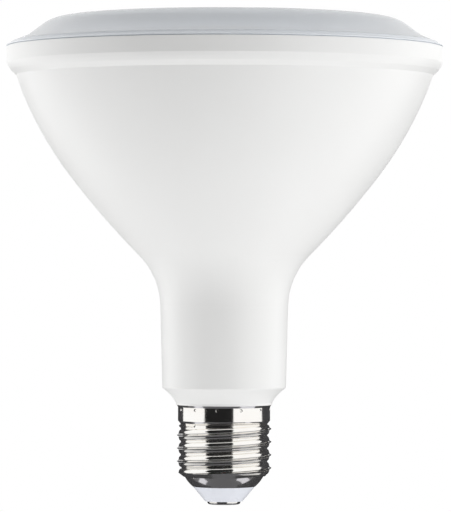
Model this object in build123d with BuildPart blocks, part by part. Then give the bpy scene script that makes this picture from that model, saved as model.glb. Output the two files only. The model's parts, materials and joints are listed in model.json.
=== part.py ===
from build123d import *
import os
from math import cos, radians, sin, sqrt

os.makedirs("parts", exist_ok=True)

# LED reflector bulb: wide white cone on a slim neck, clear satin front lens, E27 screw cap.
# Sizes are in millimetres. The origin is the tip of the centre contact, and +Z runs to the lens.
# Sections are drawn with the radius across and the height up, and turned round the Z axis.

# Fits
slip = 0.05
loose = 0.2

# Screw shell
thread_crest_d = 26.3
thread_root_d = 23.9
thread_pitch = 3.629
thread_front_z = 20.06
thread_root_flat = 0.06
thread_foot_gap = 0.2
thread_fade = 0.9
inner_crest_half = 0.25
inner_root_half = 1.25
shell_wall = 0.3
shell_height = 22.71
shell_hole_r = 8.7
shell_end_round = 9.2
shell_bevel_below = 2.76
shell_bevel_height = 4.2
shell_bevel_r = 11.3
collar_r = 12.8
collar_height = 4.4
collar_slope = 1.0
shell_lip_r = 13.2
shell_lip_height = 0.6
crimp_count = 12
crimp_turn = -98.5
crimp_r = 0.5
crimp_depth = 0.2
crimp_below_top = 1.25

# Tip of the cap
contact_r = 4.6
contact_height = 0.87
contact_round = 0.6
contact_pin_r = 1.2
contact_pin_length = 7.0
insulator_tip_r = 5.25
insulator_height = 4.08
insulator_plug_height = 2.9

# Housing
housing_wall = 2.0
housing_foot_r = 13.4
housing_foot_lip = 0.6
neck_foot_hollow = 0.35
neck_foot_round = 0.5
neck_foot_height = 4.1
neck_low_r = 17.2
neck_top_r = 17.95
neck_height = 31.1
neck_blend_r = 20.5
cone_mid_height = 26.1
cone_mid_r = 41.65
cone_upper_height = 29.5
cone_lower_bulge = 0.67
cone_upper_bulge = 1.4
step_width = 1.5
step_height = 1.4
shoulder_width = 1.1
shoulder_height = 2.1
shoulder_bulge = 0.12
band_r = 60.5
band_height = 4.25
band_wall = 2.1
ledge_below_band = 0.5
spigot_wall = 1.6
spigot_length = 16.0
neck_floor = 0.8
rib_wall = 1.2
rib_reach = 3.4
rib_height = 22.0

# Lens
lens_wall = 2.0
lens_overhang = 0.15
lens_edge_height = 0.6
lens_round_width = 3.5
lens_round_height = 1.7
lens_round_bulge = 0.35
lens_rim_height = 3.25
lens_flange_width = 6.05
lens_cone_height = 5.0
lens_cone_width = 6.7
lens_top_round = 10.0
lens_lip_wall = 1.9

# Reflector, heat sink and light source
reflector_wall = 1.2
reflector_small_r = 13.0
reflector_flange_width = 8.7
sink_wall = 1.0
sink_floor = 2.0
sink_floor_z = 85.7
sink_height = 30.0
board_r = 25.0
board_thickness = 1.6
slot_length = 6.0
slot_width = 2.8
screw_count = 3
screw_circle_r = 22.0
screw_turn = 30.0
screw_r = 1.25
screw_head_r = 2.25
screw_head_height = 1.5
screw_length = 4.8
recess_length = 2.6
recess_width = 0.5
recess_depth = 0.7
led_side = 3.0
led_height = 0.7
inner_ring_r = 6.6
inner_ring_count = 6
outer_ring_r = 10.3
outer_ring_count = 12

# Driver board
driver_thickness = 1.6
driver_width = 26.0
driver_height = 44.0
tongue_width = 17.0
tongue_length = 19.0

# Driver components: sizes, then their place along the board and above its shoulders
bulk_r = 5.0
bulk_length = 20.0
bulk_x = -4.5
bulk_lift = 3.0
output_r = 4.0
output_length = 14.0
output_x = -7.0
output_lift = 27.5
can_groove = 0.4
film_width = 9.0
film_depth = 5.0
film_height = 8.5
film_x = 6.2
film_lift = 2.0
film_round = 0.6
choke_r = 4.2
choke_length = 9.0
choke_waist = 1.0
choke_cheek = 1.3
choke_x = -4.5
choke_lift = 6.0
fuse_r = 1.7
fuse_length = 8.0
fuse_x = 6.5
fuse_lift = 13.5
bridge_width = 4.8
bridge_depth = 2.4
bridge_height = 6.6
bridge_x = 5.5
bridge_lift = 4.0
chip_width = 4.0
chip_depth = 1.5
chip_height = 5.0
chip_x = 4.5
chip_lift = 18.0
core_width = 16.0
core_height = 13.0
core_depth = 5.0
core_leg = 4.0
core_yoke = 2.2
core_lift = 28.0
winding_wall = 3.0
lead_r = 0.6
lead_bend = 1.0
pin_side = 0.6

# Heights, stacked from the tip of the contact
shell_low_z = contact_height + insulator_height
shell_top_z = shell_low_z + shell_height
plug_top_z = shell_low_z + insulator_plug_height
collar_low_z = shell_top_z - collar_height
step_low_z = collar_low_z - collar_slope
crimp_z = shell_top_z - crimp_below_top
foot_z = shell_top_z
spigot_low_z = foot_z - spigot_length
neck_low_z = foot_z + housing_foot_lip + neck_foot_height
cone_low_z = neck_low_z + neck_height
cone_mid_z = cone_low_z + cone_mid_height
cone_top_z = cone_mid_z + cone_upper_height
step_z = cone_top_z + step_height
band_low_z = step_z + shoulder_height
seam_z = band_low_z + band_height
ledge_z = band_low_z - ledge_below_band
flange_top_z = ledge_z + reflector_wall
lens_cone_z = seam_z + lens_rim_height
lens_top_z = lens_cone_z + lens_cone_height
neck_floor_z = neck_low_z + neck_floor
board_low_z = sink_floor_z + sink_floor
led_z = board_low_z + board_thickness

# Radii that follow from their neighbours
step_r = band_r - shoulder_width
cone_top_r = step_r - step_width
lens_rim_r = band_r + lens_overhang
lens_cone_r = lens_rim_r - lens_flange_width
lens_top_r = lens_cone_r - lens_cone_width
spigot_r = thread_root_d / 2 - shell_wall - loose
spigot_collar_r = collar_r - shell_wall - slip
spigot_bore_r = spigot_r - spigot_wall
rim_bore_r = band_r - band_wall
rim_fit_r = rim_bore_r - loose
reflector_large_r = rim_fit_r - reflector_flange_width
face_y = driver_thickness / 2


def skin():
    """Outer line of neck and cone: straight draft, blend, and two long shallow bulges."""
    with BuildLine() as line:
        Line((neck_low_r, neck_low_z), (neck_top_r, cone_low_z))
        SagittaArc((neck_top_r, cone_low_z), (cone_mid_r, cone_mid_z), -cone_lower_bulge)
        SagittaArc((cone_mid_r, cone_mid_z), (cone_top_r, cone_top_z), -cone_upper_bulge)
        corner = line.vertices().sort_by(Axis.Y)[1]
        fillet(corner, neck_blend_r)
    return line.line


def core(depth, low_z, high_z):
    """Section from the axis out to the given depth under the skin, between two heights."""
    wall = offset(skin(), amount=-depth, side=Side.LEFT, closed=False)
    ends = wall.vertices().sort_by(Axis.Y)
    low = ends[0]
    high = ends[-1]
    with BuildSketch() as section:
        with BuildLine():
            add(wall)
            Polyline((high.X, high.Y), (high.X, seam_z), (0, seam_z))
            Polyline((0, seam_z), (0, foot_z), (low.X, foot_z), (low.X, low.Y))
        make_face()
        with Locations((0, low_z)):
            Rectangle(band_r, high_z - low_z, align=(Align.MIN, Align.MIN), mode=Mode.INTERSECT)
    return section.sketch


def turned(section):
    """The solid that a section makes when it is turned once round the Z axis."""
    with BuildPart() as made:
        with BuildSketch(Plane.XZ):
            add(section)
        revolve(axis=Axis.Z)
    return made.part


def shell_core(inset):
    """Section of the plain shell: rounded end, straight wall, sloped step, collar and lip."""
    root_r = thread_root_d / 2 + thread_root_flat - inset
    centre_r = thread_root_d / 2 + thread_root_flat - shell_end_round
    round_r = shell_end_round - inset
    round_top_z = shell_low_z + sqrt(shell_end_round**2 - (shell_hole_r - centre_r) ** 2)
    low_z = round_top_z - sqrt(round_r**2 - (shell_hole_r - centre_r) ** 2)
    middle = (centre_r + round_r * cos(radians(30)), round_top_z - round_r * sin(radians(30)))
    lip_low_z = shell_top_z - shell_lip_height
    with BuildSketch() as section:
        with BuildLine():
            Line((0, low_z), (shell_hole_r, low_z))
            ThreePointArc((shell_hole_r, low_z), middle, (root_r, round_top_z))
            Polyline((root_r, round_top_z), (root_r, step_low_z), (collar_r - inset, collar_low_z))
            Polyline((collar_r - inset, collar_low_z), (collar_r - inset, lip_low_z))
            Polyline((collar_r - inset, lip_low_z), (shell_lip_r - inset, shell_top_z))
            Polyline((shell_lip_r - inset, shell_top_z), (0, shell_top_z), (0, low_z))
        make_face()
    return section.sketch


def thread_limit(inset):
    """Section that lets the thread fade out at the rounded end and under the collar."""
    bevel_low_z = shell_low_z + shell_bevel_below
    bevel_top_z = shell_low_z + shell_bevel_height
    full_r = thread_crest_d / 2 + slip - inset
    with BuildSketch() as section:
        with BuildLine():
            Polyline(
                (0, bevel_low_z),
                (shell_bevel_r - inset, bevel_low_z),
                (full_r, bevel_top_z),
                (full_r, step_low_z - thread_fade),
                (thread_root_d / 2 - inset, step_low_z),
                (0, step_low_z),
                close=True,
            )
        make_face()
    return section.sketch


def outer_ridge():
    """Outline of the rolled thread outside: equal tangent arcs at its crest and its roots."""
    crest_r = thread_crest_d / 2
    root_r = thread_root_d / 2
    depth = crest_r - root_r
    arc_r = ((thread_pitch / 2) ** 2 + depth**2) / (4 * depth)
    foot = thread_pitch / 2 - thread_foot_gap
    foot_r = root_r + arc_r - sqrt(arc_r**2 - thread_foot_gap**2)
    flank = thread_pitch / 4
    flank_r = (crest_r + root_r) / 2
    with BuildSketch() as outline:
        with BuildLine():
            RadiusArc((foot_r, -foot), (flank_r, -flank), -arc_r)
            RadiusArc((flank_r, -flank), (crest_r, 0), arc_r)
            RadiusArc((crest_r, 0), (flank_r, flank), arc_r)
            RadiusArc((flank_r, flank), (foot_r, foot), -arc_r)
            Polyline((foot_r, foot), (shell_hole_r, foot), (shell_hole_r, -foot), (foot_r, -foot))
        make_face()
    return outline.sketch


def inner_ridge():
    """Outline of the thread inside the sheet: straight flanks that keep the wall nearly even."""
    crest_r = thread_crest_d / 2 - shell_wall
    root_r = thread_root_d / 2 - shell_wall
    with BuildSketch() as outline:
        with BuildLine():
            Polyline((root_r, -inner_root_half), (crest_r, -inner_crest_half), (crest_r, inner_crest_half))
            Polyline((crest_r, inner_crest_half), (root_r, inner_root_half), (shell_hole_r, inner_root_half))
            Polyline((shell_hole_r, inner_root_half), (shell_hole_r, -inner_root_half))
            Line((shell_hole_r, -inner_root_half), (root_r, -inner_root_half))
        make_face()
    return outline.sketch


def threaded_form(inset, outline):
    """Whole form of the rolled shell drawn in by the inset, with its thread swept along the helix."""
    whole_turns = int((thread_front_z - shell_low_z) / thread_pitch)
    start_z = thread_front_z + thread_pitch * (0.25 - whole_turns)
    with BuildPart() as ridge:
        with BuildLine() as path:
            Helix(thread_pitch, collar_low_z - start_z, thread_root_d / 2, center=(0, 0, start_z))
        with BuildSketch(Plane.XZ):
            add(Pos(0, start_z) * outline)
        sweep(path=path.line, is_frenet=True)
        add(turned(thread_limit(inset)), mode=Mode.INTERSECT)
    with BuildPart() as form:
        add(turned(shell_core(inset)))
        add(ridge.part)
    return form.part


def crimp_marks():
    """Cones of the punch marks round the collar, pointing at the axis."""
    with BuildPart() as marks:
        for index in range(crimp_count):
            turn = Rotation(0, 0, crimp_turn + index * 360 / crimp_count)
            with Locations(turn * Location((collar_r + slip, 0, crimp_z), (0, -90, 0))):
                Cone(crimp_r, crimp_r / 2, crimp_depth + slip, align=(Align.CENTER, Align.CENTER, Align.MIN))
    return marks.part


def bowl_line(depth):
    """Parabola of the reflector, the given depth behind its bright face."""
    low = Vector(reflector_small_r, led_z)
    high = Vector(reflector_large_r, flange_top_z)
    rise = (high.Y - low.Y) * low.X / (low.X + high.X)
    middle = Vector((low.X + high.X) / 2, low.Y + rise)
    low_out = (middle - low).normalized().rotate(Axis.Z, -90)
    high_out = (high - middle).normalized().rotate(Axis.Z, -90)
    middle_out = (low_out + high_out) / (1 + low_out.dot(high_out))
    return Bezier(low + low_out * depth, middle + middle_out * depth, high + high_out * depth)


def lead(points):
    """Round lead along a path of straight runs joined by arcs."""
    with BuildPart() as made:
        with BuildLine() as path:
            FilletPolyline(*points, radius=lead_bend)
        with BuildSketch(Plane(origin=path.line @ 0, z_dir=path.line % 0)):
            Circle(lead_r)
        sweep(path=path.line)
    return made.part


def can_capacitor(can_r, length, x, lift, side):
    """Round can with a groove near its foot, lying on one face of the driver board, with two pins."""
    y = side * (face_y + can_r + slip)
    low_z = neck_floor_z + lift
    with BuildPart() as can:
        with BuildSketch(Plane.XZ):
            with BuildLine():
                Polyline(
                    (0, low_z),
                    (can_r, low_z),
                    (can_r, low_z + can_r / 3),
                    (can_r - can_groove, low_z + can_r / 3 + can_groove),
                    (can_r, low_z + can_r / 3 + 2 * can_groove),
                    (can_r, low_z + length - can_groove),
                    (can_r - can_groove, low_z + length),
                    (0, low_z + length),
                    close=True,
                )
            make_face()
        revolve(axis=Axis.Z)
        with BuildSketch(Plane.XY.offset(low_z)):
            with GridLocations(can_r, 1, 2, 1):
                Rectangle(pin_side, pin_side)
        extrude(amount=-pin_side - slip)
        with BuildSketch(Plane.XZ.offset(-side * pin_side / 2)):
            with Locations((0, low_z - slip - pin_side / 2)):
                with GridLocations(can_r, 1, 2, 1):
                    Rectangle(pin_side, pin_side)
        extrude(amount=side * (can_r + slip + pin_side / 2))
    return Pos(x, y, 0) * can.part


# Screw shell: one sheet drawn to a cup, rolled to the E27 thread and punched round its collar
with BuildPart() as screw_shell:
    add(threaded_form(0, outer_ridge()))
    add(threaded_form(shell_wall, inner_ridge()), mode=Mode.SUBTRACT)
    with BuildSketch(Plane.XY):
        Circle(shell_hole_r)
    extrude(amount=shell_top_z, mode=Mode.SUBTRACT)
    add(crimp_marks(), mode=Mode.SUBTRACT)

# Insulator: cone under the shell, plug above its hole, bore for the contact pin
with BuildPart() as cap_insulator:
    with BuildSketch(Plane.XZ):
        with BuildLine():
            Polyline(
                (0, contact_height),
                (insulator_tip_r, contact_height),
                (shell_hole_r - slip, shell_low_z),
                (shell_hole_r - slip, plug_top_z),
                (0, plug_top_z),
                close=True,
            )
        make_face()
        add(shell_core(shell_wall + slip))
        with Locations((0, plug_top_z)):
            Rectangle(band_r, seam_z, align=(Align.MIN, Align.MIN), mode=Mode.SUBTRACT)
        Rectangle(2 * (contact_pin_r + slip), 2 * seam_z, mode=Mode.SUBTRACT)
    revolve(axis=Axis.Z)

# Centre contact: disc with a flat tip and a pin pressed through the insulator
with BuildPart() as centre_contact:
    with BuildSketch(Plane.XY):
        Circle(contact_r)
    extrude(amount=contact_height)
    fillet(centre_contact.edges().group_by(Axis.Z)[0], contact_round)
    with BuildSketch(Plane.XY.offset(contact_height)):
        Circle(contact_pin_r)
    extrude(amount=contact_pin_length)

# Housing: cone, rim band and neck in one moulding, with a spigot that fills the screw shell,
# a ledge for the reflector and two pairs of ribs that hold the edges of the driver board
foot_lip_z = foot_z + housing_foot_lip
spigot_step_z = collar_low_z + loose
rib_out = neck_low_r - housing_wall / 2
rib_in = neck_low_r - housing_wall - rib_reach
with BuildPart() as housing:
    with BuildSketch(Plane.XZ) as section:
        with BuildLine():
            add(skin())
            Line((cone_top_r, cone_top_z), (step_r, step_z))
            SagittaArc((step_r, step_z), (band_r, band_low_z), -shoulder_bulge)
            Polyline((band_r, band_low_z), (band_r, seam_z), (0, seam_z), (0, spigot_low_z))
            Polyline((0, spigot_low_z), (spigot_r, spigot_low_z), (spigot_r, spigot_step_z))
            Polyline((spigot_r, spigot_step_z), (spigot_collar_r, spigot_step_z), (spigot_collar_r, foot_z))
            Polyline((spigot_collar_r, foot_z), (housing_foot_r, foot_z), (housing_foot_r, foot_lip_z))
            SagittaArc((housing_foot_r, foot_lip_z), (neck_low_r, neck_low_z), neck_foot_hollow)
        make_face()
        add(core(housing_wall, neck_floor_z, ledge_z), mode=Mode.SUBTRACT)
        with Locations((0, ledge_z)):
            Rectangle(rim_bore_r, seam_z - ledge_z, align=(Align.MIN, Align.MIN), mode=Mode.SUBTRACT)
        with Locations((0, spigot_low_z)):
            spigot_height = neck_floor_z - spigot_low_z
            Rectangle(spigot_bore_r, spigot_height, align=(Align.MIN, Align.MIN), mode=Mode.SUBTRACT)
        fillet(section.vertices().sort_by_distance((neck_low_r, neck_low_z))[0], neck_foot_round)
    revolve(axis=Axis.Z)
    with BuildSketch(Plane.XY.offset(neck_floor_z)):
        with GridLocations(rib_out + rib_in, driver_thickness + 2 * slip + rib_wall, 2, 2):
            Rectangle(rib_out - rib_in, rib_wall)
    extrude(amount=rib_height)

# Heat sink: drawn aluminium cup pressed into the cone, with a flat floor for the light source
screw_places = PolarLocations(screw_circle_r, screw_count, start_angle=screw_turn)
sink_depth = housing_wall + slip
sink_top_z = sink_floor_z + sink_height
with BuildPart() as heat_sink:
    with BuildSketch(Plane.XZ):
        add(core(sink_depth, sink_floor_z, sink_top_z))
        add(core(sink_depth + sink_wall, board_low_z, sink_top_z), mode=Mode.SUBTRACT)
    revolve(axis=Axis.Z)
    with BuildSketch(Plane.XY.offset(sink_floor_z)):
        SlotOverall(slot_length, slot_width)
        with screw_places:
            Circle(screw_r + slip)
    extrude(amount=sink_floor, mode=Mode.SUBTRACT)

# Board: round aluminium-core board with a slot for the leads
with BuildPart() as led_board:
    with BuildSketch(Plane.XY.offset(board_low_z)):
        Circle(board_r)
        SlotOverall(slot_length, slot_width, mode=Mode.SUBTRACT)
        with screw_places:
            Circle(screw_r + slip, mode=Mode.SUBTRACT)
    extrude(amount=board_thickness)

# Light source: two rings of square packages
with BuildPart() as leds:
    with BuildSketch(Plane.XY.offset(led_z)):
        with PolarLocations(inner_ring_r, inner_ring_count, start_angle=180 / inner_ring_count):
            Rectangle(led_side, led_side)
        with PolarLocations(outer_ring_r, outer_ring_count, start_angle=180 / outer_ring_count):
            Rectangle(led_side, led_side)
    extrude(amount=led_height)

# Board screws: round heads with a cross recess, through the board into the floor
with BuildPart() as board_screws:
    with BuildSketch(Plane.XY.offset(led_z)):
        with screw_places:
            Circle(screw_head_r)
    extrude(amount=screw_head_height)
    chamfer(board_screws.edges().group_by(Axis.Z)[-1], screw_head_height / 2)
    with BuildSketch(Plane.XY.offset(led_z)):
        with screw_places:
            Circle(screw_r)
    extrude(amount=-screw_length)
    with BuildSketch(Plane.XY.offset(led_z + screw_head_height)):
        with screw_places:
            Rectangle(recess_length, recess_width)
            Rectangle(recess_width, recess_length)
    extrude(amount=-recess_depth, mode=Mode.SUBTRACT)

# Reflector: parabolic bowl that stands on the board, with a flange on the ledge of the housing
with BuildPart() as reflector:
    with BuildSketch(Plane.XZ):
        with BuildLine():
            inner = bowl_line(0)
            outer = bowl_line(reflector_wall)
            Line(inner @ 0, outer @ 0)
            Line(inner @ 1, outer @ 1)
        make_face()
        with Locations((reflector_large_r, ledge_z)):
            flange_width = rim_fit_r - reflector_large_r
            Rectangle(flange_width, reflector_wall, align=(Align.MIN, Align.MIN))
        with Locations((0, led_z)):
            Rectangle(band_r, flange_top_z - led_z, align=(Align.MIN, Align.MIN), mode=Mode.INTERSECT)
    revolve(axis=Axis.Z)

# Lens: clear cover with a raised flat middle, a rim over the band and a lip inside it
edge_top_z = seam_z + lens_edge_height
round_r = lens_rim_r - lens_round_width
round_z = edge_top_z + lens_round_height
with BuildLine() as cover:
    Polyline((lens_cone_r, lens_cone_z), (lens_top_r, lens_top_z), (0, lens_top_z))
    fillet(cover.vertices().sort_by(Axis.X)[1], lens_top_round)
underside = offset(cover.line, amount=-lens_wall, side=Side.LEFT, closed=False)
under_start = underside.vertices().sort_by(Axis.X)[-1]
under_top = underside.vertices().sort_by(Axis.X)[0]
with BuildPart() as lens:
    with BuildSketch(Plane.XZ):
        with BuildLine():
            add(cover.line)
            add(underside)
            Polyline((0, lens_top_z), (under_top.X, under_top.Y))
            Polyline((under_start.X, under_start.Y), (under_start.X, seam_z), (lens_rim_r, seam_z))
            Polyline((lens_rim_r, seam_z), (lens_rim_r, edge_top_z))
            SagittaArc((lens_rim_r, edge_top_z), (round_r, round_z), -lens_round_bulge)
            Polyline((round_r, round_z), (lens_cone_r, lens_cone_z))
        make_face()
        with Locations((rim_fit_r - lens_lip_wall, flange_top_z)):
            Rectangle(lens_lip_wall, seam_z - flange_top_z, align=(Align.MIN, Align.MIN))
    revolve(axis=Axis.Z)

# Driver board: wide part in the ribs, narrow tongue down the spigot
with BuildPart() as driver_board:
    with BuildSketch(Plane.XZ.offset(-face_y)):
        with Locations((0, neck_floor_z)):
            Rectangle(driver_width, driver_height, align=(Align.CENTER, Align.MIN))
            Rectangle(tongue_width, tongue_length, align=(Align.CENTER, Align.MAX))
    extrude(amount=driver_thickness)

# Capacitors: two round cans and one moulded box
with BuildPart() as bulk_capacitor:
    add(can_capacitor(bulk_r, bulk_length, bulk_x, bulk_lift, 1))

with BuildPart() as output_capacitor:
    add(can_capacitor(output_r, output_length, output_x, output_lift, -1))

with BuildPart() as film_capacitor:
    with BuildSketch(Plane.XY.offset(neck_floor_z + film_lift)):
        with Locations((film_x, face_y)):
            Rectangle(film_width, film_depth, align=(Align.CENTER, Align.MIN))
    extrude(amount=film_height)
    fillet(film_capacitor.edges().group_by(Axis.Y)[-1], film_round)

# Filter inductor: drum with a waist of wire between two cheeks
with BuildPart() as filter_inductor:
    with BuildSketch(Plane.XY.offset(neck_floor_z + choke_lift)):
        with Locations((choke_x, -face_y - slip - choke_r)):
            Circle(choke_r)
    extrude(amount=choke_length)
    with BuildSketch(Plane.XY.offset(neck_floor_z + choke_lift + choke_cheek)):
        with Locations((choke_x, -face_y - slip - choke_r)):
            Circle(choke_r)
            Circle(choke_r - choke_waist, mode=Mode.SUBTRACT)
    extrude(amount=choke_length - 2 * choke_cheek, mode=Mode.SUBTRACT)

# Fuse resistor: round body with its two pins bent to the board
fuse_z = neck_floor_z + fuse_lift
fuse_y = face_y + fuse_r + slip
fuse_pin_lift = fuse_length / 2 + pin_side
with BuildPart() as fuse_resistor:
    with BuildSketch(Plane.XY.offset(fuse_z)):
        with Locations((fuse_x, fuse_y)):
            Circle(fuse_r)
    extrude(amount=fuse_length)
    chamfer(fuse_resistor.edges(), fuse_r / 3)
    with BuildSketch(Plane.XY.offset(fuse_z - 1.5 * pin_side)):
        with Locations((fuse_x, fuse_y)):
            Rectangle(pin_side, pin_side)
    extrude(amount=fuse_length + 3 * pin_side)
    with BuildSketch(Plane.XZ.offset(-face_y)):
        with Locations((fuse_x, fuse_z + fuse_length / 2)):
            with GridLocations(1, 2 * fuse_pin_lift, 1, 2):
                Rectangle(pin_side, pin_side)
    extrude(amount=-fuse_r - slip)

# Rectifier and controller: moulded bodies with flat legs that reach the board
with BuildPart() as bridge_rectifier:
    bridge_z = neck_floor_z + bridge_lift + bridge_height / 2
    with BuildSketch(Plane.XZ.offset(face_y + slip)):
        with Locations((bridge_x, bridge_z)):
            Rectangle(bridge_width, bridge_height)
    extrude(amount=bridge_depth, taper=5)
    with BuildSketch(Plane.XZ.offset(face_y)):
        with Locations((bridge_x, bridge_z)):
            with GridLocations(bridge_width, bridge_height / 2, 2, 2):
                Rectangle(bridge_depth, bridge_depth / 2)
    extrude(amount=bridge_depth / 4)

with BuildPart() as controller_chip:
    chip_z = neck_floor_z + chip_lift + chip_height / 2
    with BuildSketch(Plane.XZ.offset(face_y + slip)):
        with Locations((chip_x, chip_z)):
            Rectangle(chip_width, chip_height)
    extrude(amount=chip_depth, taper=5)
    with BuildSketch(Plane.XZ.offset(face_y)):
        with Locations((chip_x, chip_z)):
            with GridLocations(chip_width, chip_height / 4, 2, 4):
                Rectangle(chip_depth, chip_depth / 4)
    extrude(amount=chip_depth / 4)

# Transformer: core of two outer legs and a middle leg, and a winding round the middle leg
window_width = core_width / 2 - core_yoke - core_leg / 2
window_x = core_leg / 2 + window_width / 2
window_height = core_height - 2 * core_yoke
winding_y = face_y + slip + core_depth / 2 + slip + winding_wall
core_z = neck_floor_z + core_lift + core_height / 2
with BuildPart() as transformer_core:
    with BuildSketch(Plane.XZ.offset(-winding_y - core_depth / 2)):
        with Locations((0, core_z)):
            Rectangle(core_width, core_height)
            with GridLocations(2 * window_x, 1, 2, 1):
                Rectangle(window_width, window_height, mode=Mode.SUBTRACT)
    extrude(amount=core_depth)

winding_width = core_leg + 2 * window_width - 2 * slip
winding_depth = core_depth + 2 * slip + 2 * winding_wall
with BuildPart() as transformer_winding:
    with BuildSketch(Plane.XY.offset(core_z - window_height / 2 + slip)):
        with Locations((0, winding_y)):
            RectangleRounded(winding_width, winding_depth, winding_wall / 2)
            Rectangle(core_leg + 2 * slip, core_depth + 2 * slip, mode=Mode.SUBTRACT)
    extrude(amount=window_height - 2 * slip)

# Leads: one from the contact pin, one from the shell, two up to the light source
lead_y = face_y + lead_r
pin_top_z = contact_height + contact_pin_length
tongue_low_z = neck_floor_z - tongue_length
joint_z = tongue_low_z + tongue_length / 3
with BuildPart() as live_lead:
    add(
        lead(
            [
                (0, 0, pin_top_z),
                (0, 0, pin_top_z + 2 * lead_bend),
                (0, -lead_y, tongue_low_z - 2 * lead_r),
                (0, -lead_y, joint_z),
            ]
        )
    )

neutral_x = tongue_width / 3
neutral_z = spigot_low_z - lead_r - loose
neutral_end_x = thread_root_d / 2 - shell_wall - lead_r
with BuildPart() as neutral_lead:
    add(
        lead(
            [
                (neutral_end_x, lead_y, neutral_z),
                (neutral_x, lead_y, neutral_z),
                (neutral_x, lead_y, joint_z),
            ]
        )
    )

rise_x = slot_length / 2 - lead_r - lead_bend - 2 * slip
driver_top_z = neck_floor_z + driver_height
pad_x = slot_length / 2 + 2 * lead_r
led_lead_points = [
    (rise_x, -lead_y, driver_top_z - driver_height / 5),
    (rise_x, -lead_y, driver_top_z),
    (rise_x, 0, sink_floor_z - 2 * lead_bend),
    (rise_x, 0, led_z + lead_r),
    (pad_x, 0, led_z + lead_r),
]
with BuildPart() as led_lead_positive:
    add(lead(led_lead_points))

with BuildPart() as led_lead_negative:
    add(lead([(-x, y, z) for x, y, z in led_lead_points]))

pieces = {
    "screw_shell": screw_shell,
    "cap_insulator": cap_insulator,
    "centre_contact": centre_contact,
    "housing": housing,
    "heat_sink": heat_sink,
    "led_board": led_board,
    "leds": leds,
    "board_screws": board_screws,
    "reflector": reflector,
    "lens": lens,
    "driver_board": driver_board,
    "bulk_capacitor": bulk_capacitor,
    "output_capacitor": output_capacitor,
    "film_capacitor": film_capacitor,
    "filter_inductor": filter_inductor,
    "fuse_resistor": fuse_resistor,
    "bridge_rectifier": bridge_rectifier,
    "controller_chip": controller_chip,
    "transformer_core": transformer_core,
    "transformer_winding": transformer_winding,
    "live_lead": live_lead,
    "neutral_lead": neutral_lead,
    "led_lead_positive": led_lead_positive,
    "led_lead_negative": led_lead_negative,
}
for name, piece in pieces.items():
    piece.part.label = name
    export_step(piece.part, f"parts/{name}.step")
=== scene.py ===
# %% [markdown]
# # A reflector bulb on its screw cap
#
# The bulb comes from the CAD model as a fixed frame: every node stands where the real part stands,
# in metres, with the tip of the contact at the origin and the lens at the top. This lesson gives
# the frame its looks: materials, the pieces that need finer forms than the solids have, a camera
# and a small studio. Loading the frame first means that everything that follows can be placed by
# it.

# %% Load the frame
import json
from math import atan2, cos, degrees, pi, radians, sin, tan
import bpy
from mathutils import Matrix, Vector


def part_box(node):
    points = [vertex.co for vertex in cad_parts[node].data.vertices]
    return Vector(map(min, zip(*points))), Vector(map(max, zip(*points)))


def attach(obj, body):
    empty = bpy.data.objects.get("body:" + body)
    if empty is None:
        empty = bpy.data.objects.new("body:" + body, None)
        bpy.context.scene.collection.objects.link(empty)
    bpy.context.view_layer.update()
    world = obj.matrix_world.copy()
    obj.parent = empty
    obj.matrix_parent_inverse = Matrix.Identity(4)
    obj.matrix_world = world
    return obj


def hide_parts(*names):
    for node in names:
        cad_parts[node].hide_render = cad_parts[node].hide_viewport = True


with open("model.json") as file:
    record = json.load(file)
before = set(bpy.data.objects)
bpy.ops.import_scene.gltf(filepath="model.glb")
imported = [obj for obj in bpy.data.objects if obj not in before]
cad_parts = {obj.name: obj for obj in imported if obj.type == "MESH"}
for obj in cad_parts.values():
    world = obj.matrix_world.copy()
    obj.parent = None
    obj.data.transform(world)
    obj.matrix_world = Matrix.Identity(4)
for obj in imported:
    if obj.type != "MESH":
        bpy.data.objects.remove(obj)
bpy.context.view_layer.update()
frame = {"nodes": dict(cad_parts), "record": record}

nodes = frame["nodes"]
scene = bpy.context.scene

# %% [markdown]
# ## The camera
#
# The picture was taken level with the middle of the bulb and from about a metre away, with a long
# lens, so the cone is seen from the side and the flat front of the lens only as a line. The camera
# could be fitted by hand in the viewport, but the thread of the cap is a standard size, and its
# width in the picture gives the scale and so the focal length. The bulb leans by about a tenth of
# a degree in the picture, which the camera takes up by its own roll.

# %% Camera
picture_height = 512
pixels_per_mm = 3.597
camera_distance = 1.0
camera_height = 0.06896
camera_side = 0.00033
camera_roll = radians(0.1)
sensor = 36

camera_data = bpy.data.cameras.new("camera")
camera_data.sensor_width = sensor
camera_data.lens = sensor * pixels_per_mm * camera_distance * 1000 / picture_height
camera = bpy.data.objects.new("camera", camera_data)
camera.location = (camera_side, -camera_distance, camera_height)
camera.rotation_euler = (pi / 2, -camera_roll, 0)
scene.collection.objects.link(camera)
scene.camera = camera
print("camera: focal length", round(camera_data.lens, 1), "mm")

# %% [markdown]
# ## Shader sums in Python
#
# A finish is a small tree of nodes. Wired by hand each sum is a node with two noodles, which is
# slow to read back. Here one class wraps a socket, so that an expression such as 1 - mask adds its
# own Math nodes, and a second class holds the material and adds any other node from its type, its
# settings and its sockets.

# %% Value and Finish
class Value:
    """A socket that carries a number and can be used in a sum."""

    def __init__(self, finish, socket):
        self.finish = finish
        self.socket = socket

    def sum_with(self, operation, first, second):
        return self.finish.add("ShaderNodeMath", {"operation": operation}, {0: first, 1: second})

    def __add__(self, other):
        return self.sum_with("ADD", self, other)

    def __radd__(self, other):
        return self.sum_with("ADD", other, self)

    def __sub__(self, other):
        return self.sum_with("SUBTRACT", self, other)

    def __rsub__(self, other):
        return self.sum_with("SUBTRACT", other, self)

    def __mul__(self, other):
        return self.sum_with("MULTIPLY", self, other)

    def __rmul__(self, other):
        return self.sum_with("MULTIPLY", other, self)

    def or_more(self, other):
        """The larger of two numbers."""
        return self.sum_with("MAXIMUM", self, other)


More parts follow.
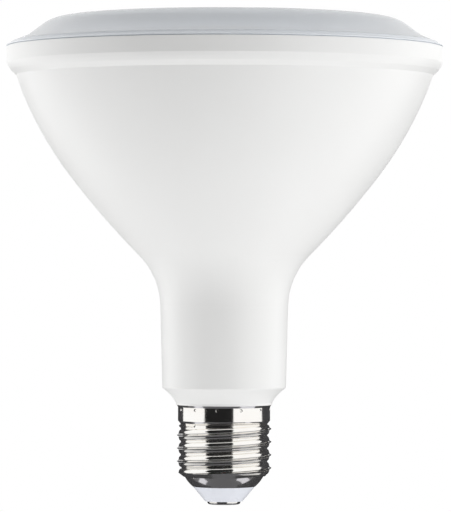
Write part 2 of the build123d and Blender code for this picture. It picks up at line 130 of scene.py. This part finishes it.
class Finish:
    """A material whose nodes are added one expression at a time."""

    def __init__(self, name):
        self.material = bpy.data.materials.new(name)
        self.material.use_nodes = True
        self.tree = self.material.node_tree
        self.tree.nodes.clear()
        self.end = self.tree.nodes.new("ShaderNodeOutputMaterial")

    def feed(self, socket, value):
        if isinstance(value, Value):
            self.tree.links.new(value.socket, socket)
        else:
            socket.default_value = value

    def add(self, kind, settings=None, inputs=None, output=0):
        node = self.tree.nodes.new(kind)
        for name, setting in (settings or {}).items():
            setattr(node, name, setting)
        for name, value in (inputs or {}).items():
            self.feed(node.inputs[name], value)
        return Value(self, node.outputs[output])

    def place(self):
        return self.add("ShaderNodeTexCoord", output="Object")

    def noise(self, scale, detail=3, roughness=0.5):
        """Noise between 0 and 1, with its grain about 1 / scale metres across."""
        inputs = {"Vector": self.place(), "Scale": scale, "Detail": detail, "Roughness": roughness}
        return self.add("ShaderNodeTexNoise", {"normalize": True}, inputs)

    def span(self, value, low, high, to_low=0, to_high=1):
        """The value's range from low to high, spread over another range and held at its ends."""
        inputs = {"Value": value, "From Min": low, "From Max": high}
        inputs.update({"To Min": to_low, "To Max": to_high})
        return self.add("ShaderNodeMapRange", {"clamp": True}, inputs)

    def blend(self, factor, first, second):
        """A colour between two colours."""
        settings = {"data_type": "RGBA"}
        return self.add("ShaderNodeMix", settings, {0: factor, 6: first, 7: second}, 2)

    def bump(self, height, strength, distance):
        """A normal that a height in metres disturbs."""
        inputs = {"Height": height, "Strength": strength, "Distance": distance}
        return self.add("ShaderNodeBump", {}, inputs)

    def principled(self, **inputs):
        """A Principled shader, with its sockets named by words and underscores."""
        sockets = {name.replace("_", " "): value for name, value in inputs.items()}
        return self.add("ShaderNodeBsdfPrincipled", {}, sockets)

    def mixed(self, factor, first, second):
        """A shader between two shaders."""
        return self.add("ShaderNodeMixShader", {}, {0: factor, 1: first, 2: second})

    def end_in(self, shader):
        self.tree.links.new(shader.socket, self.end.inputs["Surface"])
        return self.material

    def surface(self, **inputs):
        """Ends the tree in one Principled shader."""
        return self.end_in(self.principled(**inputs))


def colour(red, green, blue):
    """A colour as a picture editor gives it, turned into the linear one that a shader needs."""
    straight = [((part / 255 + 0.055) / 1.055) ** 2.4 for part in (red, green, blue)]
    return (*straight, 1)


print("finishes: helpers ready")

# %% [markdown]
# ## The housing's finish
#
# The housing is moulded in a white plastic with a satin skin. A plain white would look like paper,
# so the roughness drifts a little over the surface, as it does where the melt cooled at its own
# speed, a very fine bump breaks the highlights, and the white is slightly greyer in some places
# than others.

# %% White moulded plastic
def moulded_white(name, white, greyer, rough):
    """White plastic. The roughness stays within a few hundredths of the one given."""
    finish = Finish(name)
    drift = finish.noise(22, 2)
    grain = finish.noise(1900, 2)
    return finish.surface(
        Base_Color=finish.blend(drift, white, greyer),
        Roughness=finish.span(finish.noise(60), 0.3, 0.7, rough - 0.03, rough + 0.04),
        Normal=finish.bump(grain, 0.12, 0.0001),
        IOR=1.5,
    )


housing_white = moulded_white("housing_white", colour(243, 243, 242), colour(240, 240, 239), 0.36)
insulator_tones = colour(231, 233, 240), colour(226, 229, 237)
insulator_white = moulded_white("insulator_white", *insulator_tones, 0.22)
print("made", housing_white.name, "and", insulator_white.name)

# %% [markdown]
# ## The lens's finish
#
# The lens is clear plastic with a frosted outer skin. From the side it looks like pale blue-grey
# ice, because the light that reaches the eye has crossed both walls and the bright bowl between
# them. A half transparent grey would only fake this. So the plastic is rough transmission, and its
# outer skin adds the white bloom of the frosting with a thin gloss over it. The skin could be a
# material of its own on chosen faces, but here it is found by its place, so that it fades in at
# its borders: the flat lies above a height, the sloped wall lies outside a cone, which is a sum of
# the height and the distance from the axis, and the rim lies beyond a radius.

# %% Satin clear plastic
def from_axis(finish):
    """The distance of a place on the surface from the axis of the bulb, in metres."""
    across = {0: finish.place(), 1: (1, 1, 0)}
    flat = finish.add("ShaderNodeVectorMath", {"operation": "MULTIPLY"}, across)
    return finish.add("ShaderNodeVectorMath", {"operation": "LENGTH"}, {0: flat}, "Value")


flat_from, flat_to = 0.1336, 0.1344
cone_fall = 0.746
cone_from, cone_to = 0.1691, 0.1699
rim_from, rim_to = 0.0590, 0.0593
skin_bloom = 0.66
flat_share = 0.66
rim_bloom = 0.3
clear_tones = colour(236, 239, 243), colour(239, 242, 245)
bloom_tones = colour(231, 236, 242), colour(235, 239, 244)

lens_finish = Finish("lens_satin")
frost = lens_finish.bump(lens_finish.noise(2600, 2), 0.15, 0.0001)
clear = lens_finish.principled(
    Base_Color=lens_finish.blend(lens_finish.noise(30), *clear_tones),
    Roughness=lens_finish.span(lens_finish.noise(90), 0.3, 0.7, 0.2, 0.26),
    Normal=frost,
    IOR=1.49,
    Transmission_Weight=1.0,
)
bloom = lens_finish.principled(
    Base_Color=lens_finish.blend(lens_finish.noise(40), *bloom_tones),
    Roughness=0.3,
    Normal=frost,
    IOR=1.49,
    Coat_Weight=0.5,
    Coat_Roughness=0.06,
)
height = lens_finish.add("ShaderNodeSeparateXYZ", {}, {0: lens_finish.place()}, "Z")
on_flat = lens_finish.span(height, flat_from, flat_to)
on_cone = lens_finish.span(height + from_axis(lens_finish) * cone_fall, cone_from, cone_to)
outside = (on_flat * flat_share).or_more(on_cone)
on_rim = lens_finish.span(from_axis(lens_finish), rim_from, rim_to)
frosting = outside * skin_bloom + on_rim * rim_bloom
lens_satin = lens_finish.end_in(lens_finish.mixed(frosting, clear, bloom))
print("made", lens_satin.name)

# %% [markdown]
# ## Nickel plate
#
# The screw shell is thin brass with bright nickel on it. It is nearly a mirror, so what it shows
# is the room: white walls left and right, and the black card between them. The roots of the thread
# are a little rougher than the crests, and their tone is a little darker, which is painted shade
# in the roots; roughness and tone follow the distance from the axis. A texture painted round the
# thread would need its own map of the surface, and the distance needs none. The other metals use
# the same tree without the thread.

# %% Metals
root_r, crest_r = 0.0122, 0.0132
root_dullness = 0.02


def plated(name, bright, darker_tone, rough, threaded=False):
    """Bright metal with fine streaks. On a thread the roots are rougher than the crests, and their
    tone is darker: painted shade in the roots.
    """
    finish = Finish(name)
    streaks = finish.noise(420, 4)
    shine = finish.span(streaks, 0.3, 0.7, rough, rough + 0.06)
    tone = finish.span(finish.noise(160), 0.35, 0.65)
    if threaded:
        crest = finish.span(from_axis(finish), root_r, crest_r)
        shine = shine + (1 - crest) * root_dullness
        # Painted shade: the tone darkens from the crests into the roots of the thread.
        tone = tone * 0.5 + crest * 0.5
    return finish.surface(
        Base_Color=finish.blend(tone, darker_tone, bright),
        Metallic=1.0,
        Roughness=shine,
        Normal=finish.bump(finish.noise(700, 2), 0.03, 0.0001),
    )


nickel = plated("nickel", colour(254, 253, 250), colour(250, 247, 242), 0.07, threaded=True)
contact_metal = plated("contact_metal", colour(250, 248, 245), colour(238, 235, 230), 0.1)
aluminium = plated("aluminium", colour(214, 216, 219), colour(200, 202, 206), 0.34)
screw_steel = plated("screw_steel", colour(205, 206, 210), colour(182, 184, 190), 0.22)
mirror_coat = plated("mirror_coat", colour(236, 238, 240), colour(228, 231, 234), 0.16)
print("made", nickel.name, contact_metal.name, aluminium.name, screw_steel.name, mirror_coat.name)

# %% [markdown]
# ## Finishes inside the bulb
#
# Boards, windings and small components sit behind the reflector, but they are part of the model
# and are seen when it is taken apart. Each is a base colour that varies a little, with its own
# grain and its own gloss, so one helper makes them all. Every node then gets the finish of its
# slot.

# %% Coated and moulded parts
def coated(name, light, dark, rough, grain_scale):
    """A coat or a moulding whose roughness and bump share one grain."""
    finish = Finish(name)
    grain = finish.noise(grain_scale, 4)
    return finish.surface(
        Base_Color=finish.blend(finish.noise(240, 3), dark, light),
        Roughness=finish.span(grain, 0.3, 0.7, rough - 0.05, rough + 0.08),
        Normal=finish.bump(grain, 0.3, 0.0001),
    )


finishes = {
    "housing_white": housing_white,
    "lens_satin": lens_satin,
    "nickel": nickel,
    "insulator_white": insulator_white,
    "contact_metal": contact_metal,
    "aluminium": aluminium,
    "screw_steel": screw_steel,
    "mirror_coat": mirror_coat,
}
coats = [
    ("board_white", (244, 244, 241), (238, 238, 234), 0.35, 900),
    ("phosphor", (246, 214, 92), (240, 200, 70), 0.4, 2500),
    ("board_green", (58, 122, 74), (44, 104, 62), 0.35, 700),
    ("can_sleeve", (38, 42, 62), (28, 31, 48), 0.3, 900),
    ("film_case", (206, 164, 62), (190, 148, 50), 0.38, 1200),
    ("ferrite", (66, 66, 70), (50, 50, 54), 0.62, 3000),
    ("resistor_body", (120, 158, 132), (104, 142, 118), 0.42, 1800),
    ("moulded_black", (40, 40, 42), (30, 30, 32), 0.5, 4000),
    ("winding_tape", (232, 196, 66), (216, 178, 50), 0.28, 700),
    ("lead_red", (196, 40, 34), (178, 32, 28), 0.42, 1500),
    ("lead_black", (36, 36, 38), (26, 26, 28), 0.42, 1500),
]
for name, light_tone, dark_tone, rough, grain_scale in coats:
    finishes[name] = coated(name, colour(*light_tone), colour(*dark_tone), rough, grain_scale)

slot_of = {part["node"]: part["material_slot"] for part in frame["record"]["subparts"]}
for name, node in nodes.items():
    node.data.materials.clear()
    node.data.materials.append(finishes[slot_of[name]])
print("dressed", len(nodes), "nodes in", len(finishes), "finishes")

# %% [markdown]
# ## Turning a profile
#
# Most of a bulb is round, so most of its pieces are turned: half a section is drawn from one
# corner to the next and spun once round the axis. By hand this is a single vertex that is extruded
# along the section in edit mode and then spun. A subdivided cylinder could be pushed into shape
# too, but a spun section keeps every edge where it was drawn. Sizes are written in millimetres and
# made metres in one place.

# %% Draw a section and spin it
mm = 0.001
sides = 160
smooth_below = radians(35)


def draw(name, points):
    """One vertex, extruded from point to point. Points are radius and height in millimetres."""
    bpy.ops.object.select_all(action="DESELECT")
    bpy.ops.mesh.primitive_plane_add(size=mm)
    piece = bpy.context.object
    piece.name = name
    bpy.ops.object.mode_set(mode="EDIT")
    bpy.ops.mesh.select_all(action="SELECT")
    bpy.ops.mesh.merge(type="CENTER")
    last, *places = [Vector((radius * mm, 0, height * mm)) for radius, height in points]
    bpy.ops.transform.translate(value=last)
    for place in places:
        bpy.ops.mesh.extrude_region_move(TRANSFORM_OT_translate={"value": place - last})
        last = place
    return piece


def spin(steps, angle=2 * pi):
    """Spins what is drawn counter-clockwise, as seen from above. A whole turn closes on itself."""
    bpy.ops.mesh.select_all(action="SELECT")
    bpy.ops.mesh.spin(steps=steps, angle=angle, center=(0, 0, 0), axis=(0, 0, -1))
    bpy.ops.mesh.select_all(action="SELECT")
    bpy.ops.mesh.remove_doubles(threshold=0.001 * mm)
    bpy.ops.mesh.normals_make_consistent(inside=False)
    bpy.ops.object.mode_set(mode="OBJECT")


def soften(piece, width):
    """Rounds the sharp edges as a mould leaves them, and shades the rest smooth."""
    bevel = piece.modifiers.new("edges", "BEVEL")
    bevel.width = width * mm
    bevel.segments = 3
    bevel.limit_method = "ANGLE"
    bevel.angle_limit = radians(28)
    bpy.ops.object.select_all(action="DESELECT")
    piece.select_set(True)
    bpy.context.view_layer.objects.active = piece
    bpy.ops.object.modifier_apply(modifier=bevel.name)
    bpy.ops.object.shade_smooth_by_angle(angle=smooth_below)


def hand_over(piece, finish, slot, *replaced):
    """Gives the piece its finish and its place on the bulb, and hides the CAD parts that it
    replaces.
    """
    piece.data.materials.clear()
    piece.data.materials.append(finish)
    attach(piece, "root")
    if replaced:
        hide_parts(*replaced)
    print(piece.name, "has", len(piece.data.polygons), "faces")


def arc(start, end, sag, steps=8):
    """Points from start to end, without the start, on an arc that leaves the chord by sag."""
    chord = Vector(end) - Vector(start)
    out = Vector((chord.y, -chord.x)).normalized()
    radius = (chord.length**2 / 4 + sag**2) / (2 * sag)
    half = atan2(chord.length / 2, radius - sag)
    centre = (Vector(start) + Vector(end)) / 2 - out * (radius - sag)
    first = Vector(start) - centre
    points = []
    for step in range(1, steps + 1):
        turn = -2 * half * step / steps
        across = first.x * cos(turn) + first.y * sin(turn)
        up = first.y * cos(turn) - first.x * sin(turn)
        points.append(tuple(centre + Vector((across, up))))
    return points


print("turning helpers ready,", sides, "sides to a turn")

# %% [markdown]
# ## The lens
#
# The lens is one moulding: a flat middle, a sloped wall down to a narrow rim that covers the edge
# of the housing, and a lip that drops inside it. Light passes through it, so it needs its true
# thickness. The section goes round the outside and back along the inside, and the corners between
# flat and slope are arcs, because a hard corner would draw a dark ring in clear plastic. The rim
# has a fine groove and a bead, and steps back a little over the seam, so that the seam shows as a
# thin line. The solid of the CAD model has the same outline without these.

# %% Turn the lens
lens_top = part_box("lens")[1].z / mm
seam = lens_top - 8.25
rim_r = 60.65
rim_edge_high = seam + 0.55
rim_edge_low = seam + 0.25
recess_r = 60.1
groove_r = 59.0
groove_half = 0.2
groove_floor = seam + 1.25
groove_start = (groove_r - groove_half, seam + 1.5)
bead_start = (groove_r + groove_half, seam + 1.45)
bead_sag = 0.3
lip_r = 58.2
lip_bore_r = 56.3
lip_low = seam - 3.5
wall = 2.0
bend_r = 10.0
bend_steps = 10
cone_foot = (54.6, seam + 3.25)
cone_top_r = 47.9
slope = atan2(lens_top - cone_foot[1], cone_foot[0] - cone_top_r)
flat_r = cone_top_r - bend_r * tan(slope / 2)


def lens_bend(depth):
    """The arc from the flat middle to the sloped wall, the given depth under the skin."""
    radius = bend_r - depth
    centre_height = lens_top - bend_r
    angles = [slope * step / bend_steps for step in range(bend_steps + 1)]
    return [(flat_r + radius * sin(turn), centre_height + radius * cos(turn)) for turn in angles]


inner_foot = (cone_foot[0] - wall * tan(slope / 2), cone_foot[1] - wall)
lens_section = [(0, lens_top), *lens_bend(0), cone_foot]
lens_section += [groove_start, (groove_r, groove_floor), bead_start]
lens_section += arc(bead_start, (rim_r, rim_edge_high), bead_sag)
lens_section += [(rim_r, rim_edge_low), (recess_r, rim_edge_low), (recess_r, seam)]
lens_section += [(lip_r, seam), (lip_r, lip_low), (lip_bore_r, lip_low), (lip_bore_r, seam)]
lens_section += [(inner_foot[0], seam), inner_foot]
lens_section += [*reversed(lens_bend(wall)), (0, lens_top - wall)]
lens_cover = draw("lens_cover", lens_section)
spin(sides)
soften(lens_cover, 0.08)
hand_over(lens_cover, lens_satin, "lens_satin", "lens")

# %% [markdown]
# ## The light source
#
# Eighteen white packages stand in two rings on the board. Each holds its chip under a window of
# yellow phosphor, which gives the light its colour. One window is turned at the axis as a low
# dome. It is copied with a mesh of its own for each package, and the copies are joined into one
# piece. An array could repeat it too, but the two rings have different starts and counts.

# %% Phosphor windows
led_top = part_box("leds")[1].z / mm
window_r = 1.15
window_low = led_top - 0.05
window_edge = (window_r, led_top + 0.02)
window_peak = (0, led_top + 0.14)
window_sag = 0.03
rings = [(6.6, 6, 30), (10.3, 12, 15)]

dome = arc(window_edge, window_peak, window_sag, steps=5)
window = draw("phosphor_windows", [(0, window_low), (window_r, window_low), window_edge, *dome])
spin(24)
bpy.ops.object.shade_smooth_by_angle(angle=smooth_below)
windows = []
# Each ring has a radius in millimetres, a count and the angle of its first package.
for ring_r, count, start in rings:
    for number in range(count):
        turn = radians(start + 360 * number / count)
        copy = window.copy()
        copy.data = window.data.copy()
        copy.location = (ring_r * mm * cos(turn), ring_r * mm * sin(turn), 0)
        scene.collection.objects.link(copy)
        windows.append(copy)
bpy.data.objects.remove(window)
bpy.ops.object.select_all(action="DESELECT")
for piece in windows:
    piece.select_set(True)
bpy.context.view_layer.objects.active = windows[0]
bpy.ops.object.transform_apply(location=True, rotation=False, scale=False)
bpy.ops.object.join()
phosphor_windows = bpy.context.object
phosphor_windows.name = "phosphor_windows"
hand_over(phosphor_windows, finishes["phosphor"], "phosphor")

# %% [markdown]
# ## The studio
#
# The bulb hangs free in front of white, as in a catalogue. The world is white wherever the camera,
# a reflection or the lens looks past the bulb. The light that it throws on the bulb is another
# matter: it grows from a dim room below to a brighter one above, which shades the underside of the
# cone. A picture of a room could light it too, but a plain gradient is easy to set.

# %% World
room_above = 0.69
room_below = 0.12
dim_until = -0.1
bright_from = 0.5
world = bpy.data.worlds.new("studio")
scene.world = world
world.use_nodes = True
sky = world.node_tree
sky.nodes.clear()


def sky_node(kind, settings, inputs):
    """A node of the world, with its sockets given as numbers or as other nodes' sockets."""
    node = sky.nodes.new(kind)
    for name, setting in settings.items():
        setattr(node, name, setting)
    for name, value in inputs.items():
        if isinstance(value, bpy.types.NodeSocket):
            sky.links.new(value, node.inputs[name])
        else:
            node.inputs[name].default_value = value
    return node.outputs


rays = sky_node("ShaderNodeLightPath", {}, {})
direction = sky_node("ShaderNodeTexCoord", {}, {})["Generated"]
rise = sky_node("ShaderNodeSeparateXYZ", {}, {0: direction})["Z"]
spread = {"Value": rise, "From Min": dim_until, "From Max": bright_from}
spread.update({"To Min": room_below, "To Max": room_above})
room = sky_node("ShaderNodeMapRange", {}, spread)[0]
seen = rays["Is Camera Ray"]
for kind in ("Is Glossy Ray", "Is Transmission Ray"):
    seen = sky_node("ShaderNodeMath", {"operation": "MAXIMUM"}, {0: seen, 1: rays[kind]})[0]
level = sky_node("ShaderNodeMapRange", {}, {"Value": seen, "To Min": room, "To Max": 1.0})[0]
background = sky_node("ShaderNodeBackground", {}, {"Color": (1, 1, 1, 1), "Strength": level})[0]
sky_node("ShaderNodeOutputWorld", {}, {"Surface": background})
print("world: white to the camera, and a light of", room_below, "below and", room_above, "above")

# %% [markdown]
# ## The lamps
#
# Four soft lamps stand round the bulb: one behind its left side, one behind its right side and
# one in front on the right, which is the bright side, and a short one low on the left. They are
# area lamps, because a small lamp would draw hard shadows of the band on the cone. Reflections
# don't show them, so that the satin white keeps its tone where a lamp would burn it out.

# %% Lamps
def soft_lamp(name, side_angle, height, tall, power, distance=0.5, width=0.4):
    """A soft lamp that faces the bulb, at an angle round the axis from the camera's side."""
    light = bpy.data.lights.new(name, "AREA")
    light.shape = "RECTANGLE"
    light.size = width
    light.size_y = tall
    light.energy = power
    lamp = bpy.data.objects.new(name, light)
    turn = radians(side_angle)
    lamp.location = (distance * sin(turn), -distance * cos(turn), height)
    lamp.rotation_euler = (pi / 2, 0, turn)
    lamp.visible_glossy = False
    scene.collection.objects.link(lamp)
    return lamp


lamps = [
    soft_lamp("left_lamp", -112, 0.08, 0.7, 1.5),
    soft_lamp("right_lamp", 108, 0.02, 0.7, 0.96),
    soft_lamp("front_lamp", 50, -0.05, 0.8, 1.42),
    soft_lamp("low_lamp", -60, -0.25, 0.4, 1.0),
]
print("lamps:", ", ".join(f"{lamp.name} {lamp.data.energy:.2f} W" for lamp in lamps))

# %% [markdown]
# ## The cards and the floor
#
# A mirror in a white room is white. The shell gets its dark bands from cards that only reflections
# see: black ones in front, a black one higher up that also holds back light from the front, grey
# ones close behind its sides, and grey and light ones below its sloped end. Each card is a line
# spun through part of a turn, which keeps it at one distance from the bulb where a flat card would
# not. The pale floor lies far below, out of the picture, and throws a little light back up.

# %% Cards and floor
def card_finish(name, tone):
    """A matt card, a little cooler than grey."""
    return Finish(name).surface(Base_Color=(tone, tone, tone * 1.08, 1), Roughness=0.9)


def card(name, finish, start_angle, end_angle, low, high, far=0.45, near=0.45):
    """A card curved round the axis, which only mirrors see. Its lower edge is at the radius far
    and its upper edge at the radius near. Angles are from the camera's side, right positive."""
    piece = draw(name, [(far / mm, low / mm), (near / mm, high / mm)])
    bpy.ops.mesh.select_all(action="SELECT")
    bpy.ops.transform.rotate(
        value=radians(90 - start_angle), orient_axis="Z", center_override=(0, 0, 0)
    )
    spin(24, radians(end_angle - start_angle))
    piece.visible_camera = False
    piece.visible_diffuse = False
    piece.visible_transmission = False
    piece.visible_shadow = False
    piece.data.materials.append(finish)
    angles = [round(degrees(atan2(corner.co.x, -corner.co.y))) for corner in piece.data.vertices]
    print(name, "goes from", min(angles), "to", max(angles), "degrees")
    return piece


black = card_finish("card_black", 0.003)
grey = card_finish("card_grey", 0.045)
pale = card_finish("card_pale", 0.1)
light = card_finish("card_light", 0.6)
front_left, front_right = -49, 23
card("front_card", black, front_left, front_right, -0.45, 0.15)
card("high_card", black, front_left, front_right, 0.15, 0.4).visible_diffuse = True
card("top_card", black, front_left, front_right, 0.4, 0.6)
card("left_card", grey, -178, -118, -0.25, 0.115, far=0.11, near=0.11)
card("right_card", grey, 105, 178, -0.25, 0.115, far=0.11, near=0.11)
card("low_card", pale, -180, 180, -0.3, -0.3, near=0.001)
card("low_left_card", light, -116, -80, -0.29, -0.29, far=0.3, near=0.18)
card("low_right_card", light, 56, 122, -0.29, -0.29, far=0.32, near=0.18)

floor_pale = Finish("floor_pale").surface(Base_Color=colour(236, 236, 236), Roughness=0.8)
floor = draw("floor", [(0.001, -450), (2000, -450)])
spin(48)
floor.visible_camera = False
floor.data.materials.append(floor_pale)

# %% View transform
scene.view_settings.view_transform = "Standard"
